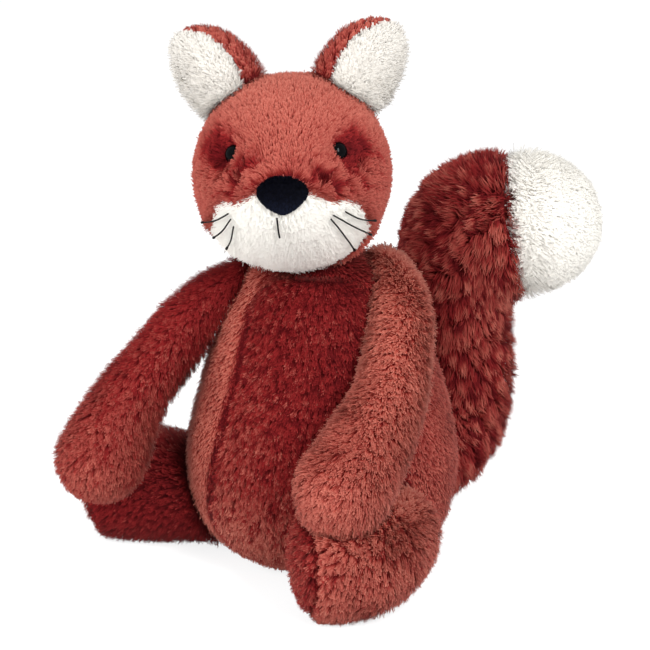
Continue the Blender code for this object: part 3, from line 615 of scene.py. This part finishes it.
def black_thread(tree):
    """Twisted polyester thread: a dull black with the slant of its twist, in bands 3 mm apart."""
    twist = in_place(tree, "ShaderNodeTexWave", {"Scale": 99.95, "Distortion": 0.6})
    bump = add_node(tree, "ShaderNodeBump", {"Strength": 0.5, "Distance": 0.0002},
                    {"Height": twist.outputs["Fac"]})
    return add_node(tree, "ShaderNodeBsdfPrincipled",
                    {"Base Color": (*colours().thread, 1), "Roughness": 0.6,
                     "Specular IOR Level": 0.1},
                    {"Normal": bump.outputs[0]})


def glossy_bead(tree):
    """Injection-moulded acrylic eye with a clear, wet-looking surface. Its mirroring is kept low,
    because the white background is all that it has to mirror."""
    haze = in_place(tree, "ShaderNodeTexNoise", {"Scale": 900.0, "Detail": 2.0})
    rough = add_node(tree, "ShaderNodeMapRange", {"To Min": 0.05, "To Max": 0.10},
                     {"Value": haze.outputs["Fac"]})
    return add_node(tree, "ShaderNodeBsdfPrincipled",
                    {"Base Color": (*colours().bead, 1), "IOR": 1.49, "Specular IOR Level": 0.045},
                    {"Roughness": rough.outputs[0]})


def moulded_washer(tree):
    """Black nylon washer, satin, with the faint mottle of its mould."""
    mottle = in_place(tree, "ShaderNodeTexNoise", {"Scale": 600.0})
    tint = add_node(tree, "ShaderNodeValToRGB",
                    {"stops": [(0.3, linear("#1c1b1e")), (0.7, linear("#28272b"))]},
                    {0: mottle.outputs["Fac"]})
    return add_node(tree, "ShaderNodeBsdfPrincipled", {"Roughness": 0.45},
                    {"Base Color": tint.outputs[0]})


# ---- the way the pile lies

def along(x, y, z):
    """The same way everywhere."""
    return lambda p, n: np.broadcast_to(np.array([x, y, z], float), p.shape)


def towards(x, y, z):
    """Each strand points at one place."""
    return lambda p, n: np.array([x, y, z]) - p


def away_from(x, y, z):
    """Each strand points away from one place."""
    return lambda p, n: p - np.array([x, y, z])


def toned(value):
    """The same tone everywhere, full length."""
    return lambda p, n: (np.full(len(p), value), np.ones(len(p)))


def tree_of(node, without=None):
    """Search tree of a solid's triangles, without those that face another solid closely."""
    points, tris = solid_arrays(node)
    if without is not None:
        a, b, c = (points[tris[:, k]] for k in range(3))
        normals = unit(np.cross(b - a, c - a))
        shared = tree_of(without)
        rays = zip((a + b + c) / 3, normals)
        tris = tris[np.array([shared.ray_cast(Vector(m), Vector(n), CLOSE)[3] is None
                              for m, n in rays])]
    return BVHTree.FromPolygons(points.tolist(), tris.tolist())


def seam_to(node, reach, panel=None):
    """A function that is 1 at the edge of another solid and falls to 0 at reach from it. For a
    panel let into the other solid, only that solid's outer face counts."""
    tree = tree_of(node, panel)
    return lambda p: 1 - beside(p, tree, reach)


def ragged(at_seam, seed):
    """The painted shade of a seam, with an uneven edge, fading out where the head covers the seam.
    """
    def uneven(p):
        share = 1.6 * (0.2 + 1.2 * cloud(p, 0.0034, seed)) * ramp(p[:, 2], 0.120, 0.110)
        return np.minimum(at_seam(p) * share, 1)
    return uneven


def hollow(p, centre, radius):
    """1 at a place, falling off as exp(-(distance/radius)^2)."""
    return np.exp(-(np.linalg.norm(p - np.array(centre), axis=1) / radius) ** 2)


def ramp(x, start, end):
    """0 at start, 1 at end, straight between."""
    return np.clip((x - start) / (end - start), 0, 1)


# ---- operators

class SQUIRREL_OT_torso(bpy.types.Operator):
    """Covers the stuffed torso and its belly panel, the pile brushed downwards"""
    bl_idname = "squirrel.torso"
    bl_label = "Torso"

    def execute(self, context):
        s = sizes()
        at_panel = ragged(seam_to("belly_panel", 0.0040), 93)
        at_torso = ragged(seam_to("torso", 0.0036, "belly_panel"), 94)
        down = along(0, 0.05, -1)

        def torso_shade(p, n):
            x, y, z = p.T
            # Painted light: the toy's right side, more so at its top, is lighter.
            right_side = ramp(x, 0.0, -0.02)
            top = ramp(z, 0.085, 0.115) * right_side
            seam = at_panel(p)
            # Painted shade under the chin, and in the seam to the belly panel.
            collar = ramp(z, 0.110, 0.122) * ramp(x, -0.030, -0.022) * ramp(y, 0.0, -0.01)
            tone = 0.46 + 0.30 * right_side + 0.38 * top - 1.2 * seam - 0.35 * collar
            return tone, 0.72 - 0.5 * seam + 0.28 * collar

        # Painted shade at the top under the head, beside the toy's left arm and in the seam.
        def belly_shade(p, n):
            # Lighter towards the bottom and the toy's right edge.
            x, _, z = p.T
            top = ramp(z, 0.06, 0.13)
            low = ramp(z, 0.045, 0.015)
            seam = at_torso(p)
            inner = ramp(x, 0.000, 0.040)
            edge = ramp(x, 0.010, -0.035) * (0.3 + 0.7 * ramp(z, 0.11, 0.04))
            tone = 0.22 - 0.12 * top + 0.36 * low + 0.30 * edge - 0.10 * inner - 1.3 * seam
            return tone, 1 - 0.65 * seam

        coated("torso", dict(voxel=0.003, smoothing=3, sink=0.0014, number=95000,
                             length=s.short_pile, width=s.strand, lean=58, lock=0.0022,
                             pull=0.3, seed=11, parting=0.1, lock_spread=0.1,
                             partner="belly_panel"),
               down, torso_shade, rust_plush(), "rust_plush")
        coated("belly_panel", dict(voxel=0.0018, smoothing=2, sink=0.0014, from_=(0, 0.02, 0.06),
                                   number=90000, length=s.short_pile, width=s.strand * 0.8,
                                   lean=50, lock=0.0020, pull=0.6, seed=12, parting=0.55,
                                   spread=0.10, lock_spread=0.35, grain=(1, 1, 0.4),
                                   partner="torso"),
               down, belly_shade, rust_plush(), "rust_plush")
        return {"FINISHED"}


class SQUIRREL_OT_head(bpy.types.Operator):
    """Covers the head, the pile brushed back from the nose, short round the eyes and with painted
    shade there
    """
    bl_idname = "squirrel.head"
    bl_label = "Head"

    def execute(self, context):
        s = sizes()
        left, right, nose = middle("eye_left"), middle("eye_right"), middle("nose")
        out_left = left + np.array([0.0045, 0.0020, 0.0008])
        out_right = right + np.array([-0.0045, 0.0020, 0.0008])
        under_left = left + np.array([0.007, 0.005, -0.005])
        under_right = right + np.array([-0.007, 0.005, -0.005])
        cheek_left = nose + np.array([0.021, 0.006, 0.003])
        cheek_right = nose + np.array([-0.019, 0.006, 0.001])
        back_from_nose = away_from(*(nose + np.array([0, 0.004, -0.004])))
        down_from_nose = away_from(*(nose + np.array([0, 0.004, 0.008])))
        at_muzzle = seam_to("muzzle", 0.005)

        def cheeks(p):
            return hollow(p, cheek_left, 0.012) + hollow(p, cheek_right, 0.012)

        def ruffled(p):
            beside_eyes = hollow(p, under_left, 0.012) + hollow(p, under_right, 0.012)
            return np.clip(1.4 * cheeks(p) + beside_eyes, 0, 1) * (1 - at_muzzle(p))

        def head_shade(p, n):
            # Painted shade round the eyes and in the partings of the ruffled pile.
            eyes = hollow(p, out_left, 0.0064) + 0.85 * hollow(p, out_right, 0.0066)
            eyes = eyes * (0.55 + 1.1 * cloud(p, 0.0030, 91))
            line = np.exp(-((cloud(p, 0.0044, 92) - 0.5) / 0.09) ** 2) * ruffled(p)
            # Painted shade lower on the head, painted light and sheen on the brow.
            low = ramp(p[:, 2], 0.178, 0.150)
            brow = ramp(p[:, 2], 0.180, 0.205)
            close = hollow(p, left, 0.0060) + hollow(p, right, 0.0060)
            # The cheeks are a little darker.
            tone = 0.52 - 1.25 * eyes - 0.12 * low + 0.17 * brow - 0.9 * line - 0.12 * cheeks(p)
            return tone, 1 - 0.55 * close - 0.5 * line

        def muzzle_shade(p, n):
            corners = (hollow(p, (-0.033, -0.040, 0.143), 0.010)
                       + hollow(p, (0.016, -0.040, 0.143), 0.010))
            return np.full(len(p), 0.9), 1 + 1.2 * corners

        def under_chin(p):
            return (p[:, 2] < 0.150) & (p[:, 1] < -0.022) & (np.abs(p[:, 0] + 0.010) < 0.034)

        coated("head", dict(voxel=0.0024, smoothing=3, sink=0.0019, number=120000,
                            length=s.head_pile, width=s.strand * 0.75, lean=60, lock=0.0024,
                            pull=0.28, seed=21, parting=0.05, stray=0.16, lock_spread=0.12,
                            spread=0.05, grain=(1, 1, 0.4), lift=7, curls=ruffled,
                            bare=under_chin),
               back_from_nose, head_shade, rust_plush(), "rust_plush")
        coated("muzzle", dict(voxel=0.0015, smoothing=2, sink=0.0028, number=44000,
                              from_=(-0.010, -0.014, 0.171), length=s.muzzle_pile,
                              width=s.strand * 0.9, lean=60, lock=0.0040, pull=0.2, seed=22,
                              parting=0.0, spread=0.03, lock_spread=0.1, soft=0.96),
               down_from_nose, muzzle_shade, white_plush(), "white_plush")
        return {"FINISHED"}


class SQUIRREL_OT_ears(bpy.types.Operator):
    """Covers the backs of the ears in rust plush and their linings in longer white plush"""
    bl_idname = "squirrel.ears"
    bl_label = "Ears"

    def execute(self, context):
        s = sizes()

        def lining_shade(word):
            at_back = seam_to("ear_back_" + word, 0.005, "ear_lining_" + word)
            return lambda p, n: (np.full(len(p), 0.05), 1 - 0.7 * at_back(p))

        for word, way, seed in (("left", (0.50, 0.23, 0.84), 31),
                                ("right", (-0.59, 0.11, 0.80), 41)):
            coated("ear_back_" + word,
                   dict(voxel=0.0013, smoothing=2, sink=0.0, number=11000,
                        length=s.short_pile * 0.85, width=s.strand, lean=44, lock=0.003,
                        pull=0.5, seed=seed),
                   along(*way), toned(0.5), rust_plush(), "rust_plush")
            coated("ear_lining_" + word,
                   dict(voxel=0.0013, smoothing=2, sink=0.0005, number=13000, length=s.ear_pile,
                        width=s.strand * 1.2, lean=58, lock=0.0045, pull=0.4, seed=seed + 1,
                        parting=0.0, spread=0.03, soft=0.94, lift=15, stray=0.45),
                   along(*way), lining_shade(word), white_plush(), "white_plush")
        return {"FINISHED"}


class SQUIRREL_OT_arms(bpy.types.Operator):
    """Covers the arms, the pile brushed down to the paws, with painted light on the toy's left arm
    and painted shade on its right
    """
    bl_idname = "squirrel.arms"
    bl_label = "Arms"

    def execute(self, context):
        s = sizes()
        left_paw, right_paw = (0.004, -0.092, 0.018), (-0.112, -0.036, 0.008)

        # Painted light, most at the top of the arm.
        def painted_light_left_arm(p, n):
            return 0.95 - 0.20 * ramp(p[:, 2], 0.13, 0.06), np.ones(len(p))

        # Painted shade at the top of the arm, under the head, lighter down to the paw.
        def painted_shade_right_arm(p, n):
            return 0.06 + 0.42 * ramp(p[:, 2], 0.12, 0.04), np.ones(len(p))

        coat = dict(voxel=0.0024, smoothing=3, sink=0.0024, number=68000, length=s.short_pile,
                    width=s.strand * 0.9, lean=54, lock=0.0023, pull=0.6, parting=0.25,
                    spread=0.06, lock_spread=0.25, grain=(1, 1, 0.5), near=0.010,
                    cover=0.0004)
        coated("arm_left", dict(coat, seed=51), towards(*left_paw), painted_light_left_arm, rust_plush(),
               "rust_plush")
        coated("arm_right", dict(coat, seed=52), towards(*right_paw), painted_shade_right_arm, rust_plush(),
               "rust_plush")
        return {"FINISHED"}


class SQUIRREL_OT_legs(bpy.types.Operator):
    """Covers the legs, the pile brushed down to the feet, and the soles, with painted shade
    along their seams
    """
    bl_idname = "squirrel.legs"
    bl_label = "Legs"

    def execute(self, context):
        s = sizes()

        def edged(at_seam, tone, rise):
            """A tone with painted light rising up the leg and painted shade falling at a seam,
            where the pile is shorter too.
            """
            def shade(p, n):
                seam = at_seam(p)
                return tone + rise * ramp(p[:, 2], 0.035, 0.050) - 0.45 * seam, 1 - 0.5 * seam
            return shade

        coat = dict(voxel=0.0024, smoothing=3, sink=0.0024, length=s.short_pile,
                    width=s.strand * 0.9, lean=50, lock=0.0023, pull=0.8, parting=0.4,
                    spread=0.05, lock_spread=0.4, grain=(1, 1, 0.6))
        # The toy's left leg has painted light, its right, behind the arm, painted shade.
        for word, number, seed, way, tone in (("left", 56000, 61, (-0.5, -0.2, -0.8), 0.78),
                                              ("right", 34000, 62, (-0.8, 0.1, -0.4), 0.03)):
            coated("leg_" + word, dict(coat, number=number, seed=seed, partner="sole_" + word),
                   along(*way), edged(seam_to("sole_" + word, 0.0032), tone, 0.28),
                   rust_plush(), "rust_plush")
        for word, seed in (("left", 63), ("right", 64)):
            leg, sole = "leg_" + word, "sole_" + word
            coated(sole, dict(coat, voxel=0.0015, smoothing=2, number=12000, seed=seed,
                              from_=tuple(middle(leg)), partner=leg),
                   along(-0.2, -0.1, -1), edged(seam_to(leg, 0.0034, sole), 0.4, 0.0),
                   rust_plush(), "rust_plush")
        return {"FINISHED"}


class SQUIRREL_OT_tail(bpy.types.Operator):
    """Covers the tail in long tufts brushed over the crest and down, and its white tip"""
    bl_idname = "squirrel.tail"
    bl_label = "Tail"

    def execute(self, context):
        s = sizes()
        fold = np.array([0.070, 0.066, 0.146])
        tip_seat, tip_axis = np.array([0.078, 0.087, 0.134]), np.array([0.983, 0.173, 0.059])

        def over_the_crest(p, n):
            crest = ramp(p[:, 2], 0.095, 0.125)[:, None]
            return np.array([0.0, -0.05, -1.0]) * (1 - crest) + unit(p - fold) * crest

        def tail_shade(p, n):
            x, _, z = p.T
            # Painted light on the crest and the outer side, painted shade on the side by the arm.
            crest = ramp(z, 0.105, 0.140)
            inner = ramp(x, 0.050, 0.030) * (1 - crest)
            outer = ramp(x, 0.052, 0.072) * ramp(z, 0.125, 0.105)
            tone = 0.54 + 0.08 * crest - 0.26 * inner + 0.34 * outer
            return tone, 0.85 + 0.1 * crest - 0.35 * ramp(x, 0.040, 0.024)

        def past_seam(p):
            return ((p - tip_seat) * tip_axis).sum(1)

        def over_the_tip(p, n):
            """Out along the tip, but most strands near the seam lie back over it."""
            back = scatter(np.floor(p * 1e6), 97) < 0.75 * ramp(past_seam(p), 0.0065, 0.001)
            return np.where(back[:, None], -tip_axis, np.array([0.95, 0.20, -0.30]))

        def tip_shade(p, n):
            return np.full(len(p), 0.88), 1 + 0.2 * ramp(past_seam(p), 0.009, 0.0)

        coated("tail", dict(voxel=0.003, smoothing=3, sink=0.0034, number=52000,
                            length=s.tail_pile, width=s.strand * 1.3, lean=48, lock=0.0044,
                            pull=1.1, seed=71, bent=True, parting=0.85, spread=0.08, lift=11,
                            grain=(1, 1, 0.45)),
               over_the_crest, tail_shade, rust_plush(), "rust_plush")
        coated("tail_tip", dict(voxel=0.0024, smoothing=3, sink=0.0036, number=45000,
                                length=s.tip_pile, width=s.strand * 1.5, lean=58, lock=0.0080,
                                pull=0.15, seed=72, parting=0.0, spread=0.03, lock_spread=0.1,
                                lift=6, soft=1.0, axis=(tip_seat, tip_axis)),
               over_the_tip, tip_shade, white_plush(), "white_plush")
        return {"FINISHED"}


class SQUIRREL_OT_face(bpy.types.Operator):
    """Makes the bead eyes and the velour nose, and gives the threads and washers their finish"""
    bl_idname = "squirrel.face"
    bl_label = "Eyes, nose and threads"

    def execute(self, context):
        s = sizes()
        for node in ("eye_left", "eye_right"):
            name = node + "_bead"
            me = bead_mesh(name, solid_arrays(node)[0])
            me.materials.append(once("Glossy black bead", glossy_bead))
            placed(bpy.data.objects.new(name, me), "black_bead", node)

        # Painted sheen: the nap's bluish ends show on the lower part of the nose.
        def nap_sheen(p, n):
            return 0.75 - 0.6 * ramp(p[:, 2], 0.166, 0.172), np.ones(len(p))

        coated("nose", dict(voxel=0.0008, smoothing=4, sink=0.0, number=16000, length=s.nap,
                            width=0.0003, lean=35, lock=0.0015, pull=0.3, seed=81, padded=0.9,
                            parting=0.1),
               along(0, 0.1, -1), nap_sheen, nose_velour(), "black_velour")
        for name, node in sorted(NODES.items()):
            if "whisker" in name or "mouth" in name:
                node.material_slots[0].material = once("Black polyester thread", black_thread)
            if "washer" in name:
                node.material_slots[0].material = once("Moulded nylon washer", moulded_washer)
        return {"FINISHED"}


def bead_mesh(name, points):
    """An oval bead, its sides drawn in under the pile. With the solid's flattest way c, the level
    way b across it and a across both, the point at turn t and rise r is
    middle + cos r (A cos t a + B sin t b) + C sin r c."""
    centre = (points.min(0) + points.max(0)) / 2
    flat = np.linalg.svd(points - points.mean(0), full_matrices=False)[2][2]
    level = unit(np.cross(np.array([0.0, 0.0, 1.0]), flat))
    axes = np.stack([np.cross(flat, level), level, flat])
    halves = np.abs((points - centre) @ axes.T).max(0) * np.array([BEAD_TALL, BEAD_NARROW, 1])
    t, r = np.meshgrid(np.linspace(0, 2 * math.pi, 41)[:-1],
                       np.linspace(-math.pi / 2, math.pi / 2, 21))
    grid = (centre + (np.cos(r) * np.cos(t) * halves[0])[..., None] * axes[0]
            + (np.cos(r) * np.sin(t) * halves[1])[..., None] * axes[1]
            + (np.sin(r) * halves[2])[..., None] * axes[2])
    rows, columns = t.shape
    i, j = np.meshgrid(np.arange(rows - 1), np.arange(columns), indexing="ij")
    k = (j + 1) % columns
    corners = np.stack([i * columns + j, i * columns + k, (i + 1) * columns + k,
                        (i + 1) * columns + j], axis=-1)
    me = bpy.data.meshes.new(name)
    me.from_pydata(grid.reshape(-1, 3).tolist(), [], corners.reshape(-1, 4).tolist())
    closed_up(me, 1e-7)
    me.polygons.foreach_set("use_smooth", np.ones(len(me.polygons), bool))
    return me


def seen_by(tree):
    """1 for rays from the camera and for those mirrored or let through on the way to it."""
    path = add_node(tree, "ShaderNodeLightPath")
    first = add_node(tree, "ShaderNodeMath", {"operation": "MAXIMUM"},
                     {0: path.outputs["Is Camera Ray"], 1: path.outputs["Is Glossy Ray"]})
    both = add_node(tree, "ShaderNodeMath", {"operation": "MAXIMUM"},
                    {0: first.outputs[0], 1: path.outputs["Is Transmission Ray"]})
    return both.outputs[0]


def soft_box(name, place, width, tall, power, mirrored):
    """A rectangular lamp aimed at the middle of the toy."""
    lamp = bpy.data.lights.new(name, "AREA")
    lamp.shape = "RECTANGLE"
    lamp.size = width
    lamp.size_y = tall
    lamp.energy = power
    box = bpy.data.objects.new(name, lamp)
    box.location = place
    box.rotation_mode = "QUATERNION"
    box.rotation_quaternion = (Vector((0, 0, 0.11)) - Vector(place)).to_track_quat("-Z", "Y")
    box.visible_glossy = mirrored
    bpy.context.scene.collection.objects.link(box)


def white_paper(tree):
    """White paper, matt, with the faint tooth of its surface. The camera sees it lit to white,
    with a share of the shade on it."""
    tooth = in_place(tree, "ShaderNodeTexNoise", {"Scale": 400.0})
    bump = add_node(tree, "ShaderNodeBump", {"Strength": 0.05, "Distance": 0.0002},
                    {"Height": tooth.outputs["Fac"]})
    paper = add_node(tree, "ShaderNodeBsdfDiffuse", {"Color": (0.88, 0.88, 0.88, 1)},
                     {"Normal": bump.outputs[0]})
    shaded = add_node(tree, "ShaderNodeBsdfDiffuse", {"Color": (0.22, 0.22, 0.22, 1)})
    glow = add_node(tree, "ShaderNodeEmission", {"Color": (1, 1, 1, 1), "Strength": 0.82})
    seen = add_node(tree, "ShaderNodeAddShader", links={0: shaded.outputs[0], 1: glow.outputs[0]})
    return add_node(tree, "ShaderNodeMixShader",
                    links={0: seen_by(tree), 1: paper.outputs[0], 2: seen.outputs[0]})


class SQUIRREL_OT_studio(bpy.types.Operator):
    """Sets the white floor, the soft boxes and the camera"""
    bl_idname = "squirrel.studio"
    bl_label = "Studio"

    def execute(self, context):
        scene = context.scene
        st = scene.plush_studio
        me = bpy.data.meshes.new("floor")
        size = 6.0
        me.from_pydata([(-size, -size, 0), (size, -size, 0), (size, size, 0), (-size, size, 0)],
                       [], [(0, 1, 2, 3)])
        me.materials.append(material_of("White paper sweep", white_paper))
        floor = bpy.data.objects.new("floor", me)
        scene.collection.objects.link(floor)

        world = bpy.data.worlds.new("Studio")
        scene.world = world
        world.use_nodes = True
        tree = world.node_tree
        tree.nodes.clear()
        level = add_node(tree, "ShaderNodeMapRange", {"To Min": st.ambient, "To Max": 1.0},
                         {"Value": seen_by(tree)})
        sky = add_node(tree, "ShaderNodeBackground", {"Color": (1, 1, 1, 1)},
                       {"Strength": level.outputs[0]})
        end = add_node(tree, "ShaderNodeOutputWorld")
        tree.links.new(sky.outputs[0], end.inputs[0])

        soft_box("key", (0.70, -0.95, 0.85), 0.3, 0.7, st.key_power, True)
        soft_box("fill", (-0.95, -0.8, 0.6), 0.6, 0.9, st.fill_power, False)

        a, e = st.bearing, st.height
        back = Vector((math.sin(a) * math.cos(e), -math.cos(a) * math.cos(e), math.sin(e)))
        camera = bpy.data.objects.new("camera", bpy.data.cameras.new("camera"))
        camera.data.sensor_width = 36.0
        camera.data.lens = st.lens
        camera.location = back * st.distance
        aim = Vector((0.0013, 0.0, 0.1038)) - camera.location
        camera.rotation_mode = "QUATERNION"
        camera.rotation_quaternion = aim.to_track_quat("-Z", "Y")
        scene.collection.objects.link(camera)
        scene.camera = camera
        scene.view_settings.view_transform = "Standard"
        return {"FINISHED"}


class SQUIRREL_PT_plush(bpy.types.Panel):
    """The sizes, the colours and the buttons that make each piece"""
    bl_label = "Plush squirrel"
    bl_idname = "SQUIRREL_PT_plush"
    bl_space_type = "VIEW_3D"
    bl_region_type = "UI"
    bl_category = "Plush"

    def draw(self, context):
        for group in GROUPS:
            box = self.layout.box()
            holder = getattr(context.scene, group)
            for name in holder.bl_rna.properties.keys():
                if name not in {"rna_type", "name"}:
                    box.prop(holder, name)
        for step in STEPS:
            self.layout.operator(step.bl_idname)


STEPS = (SQUIRREL_OT_torso, SQUIRREL_OT_head, SQUIRREL_OT_ears, SQUIRREL_OT_arms,
         SQUIRREL_OT_legs, SQUIRREL_OT_tail, SQUIRREL_OT_face, SQUIRREL_OT_studio)
GROUPS = {"plush_sizes": PlushSizes, "plush_colours": PlushColours, "plush_studio": StudioSizes}


def register():
    """Adds the settings, the operators and the panel."""
    for name, group in GROUPS.items():
        bpy.utils.register_class(group)
        setattr(bpy.types.Scene, name, bpy.props.PointerProperty(type=group))
    for step in STEPS:
        bpy.utils.register_class(step)
    bpy.utils.register_class(SQUIRREL_PT_plush)


def unregister():
    """Takes them out again."""
    bpy.utils.unregister_class(SQUIRREL_PT_plush)
    for step in reversed(STEPS):
        bpy.utils.unregister_class(step)
    for name, group in reversed(GROUPS.items()):
        delattr(bpy.types.Scene, name)
        bpy.utils.unregister_class(group)


def main():
    """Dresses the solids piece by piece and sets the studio."""
    register()
    bpy.ops.squirrel.torso()
    bpy.ops.squirrel.head()
    bpy.ops.squirrel.ears()
    bpy.ops.squirrel.arms()
    bpy.ops.squirrel.legs()
    bpy.ops.squirrel.tail()
    bpy.ops.squirrel.face()
    bpy.ops.squirrel.studio()


if __name__ == "__main__":
    main()
